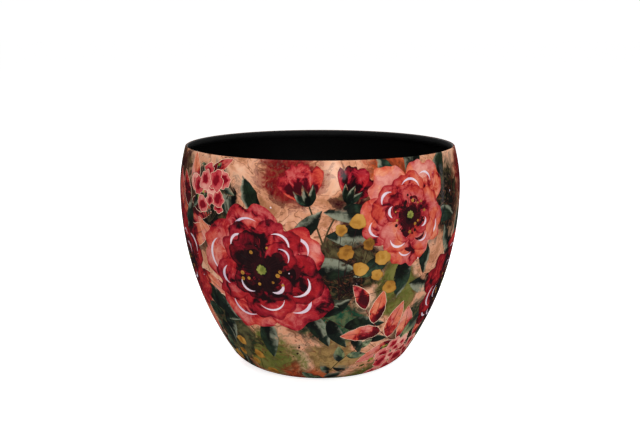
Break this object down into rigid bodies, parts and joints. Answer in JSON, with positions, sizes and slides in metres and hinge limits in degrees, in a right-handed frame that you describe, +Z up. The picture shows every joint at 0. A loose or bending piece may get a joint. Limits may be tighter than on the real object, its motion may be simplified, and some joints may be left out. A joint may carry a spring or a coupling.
{
  "type": "cachepot",
  "caption": "Round bellied steel cachepot with an inward-folded rim, a glossy floral print outside, black enamel inside and felt feet.",
  "frame": {"origin": "point on the table under the pot's axis, on the plane of the felt pads' undersides", "axes": "+Z up along the pot's axis; -Y towards the picture's viewer, +X to the viewer's right"},
  "size_m": [0.2404, 0.2404, 0.1928],
  "materials": {
    "black_enamel": "gloss black enamel on sheet steel",
    "printed_wrap": "glossy printed film with watercolour flowers",
    "felt": "pressed felt"
  },
  "bodies": {
    "root": {"pot_shell": "black_enamel", "printed_film": "printed_wrap", "foot_pad_1": "felt", "foot_pad_2": "felt", "foot_pad_3": "felt", "foot_pad_4": "felt"}
  },
  "joints": []
}
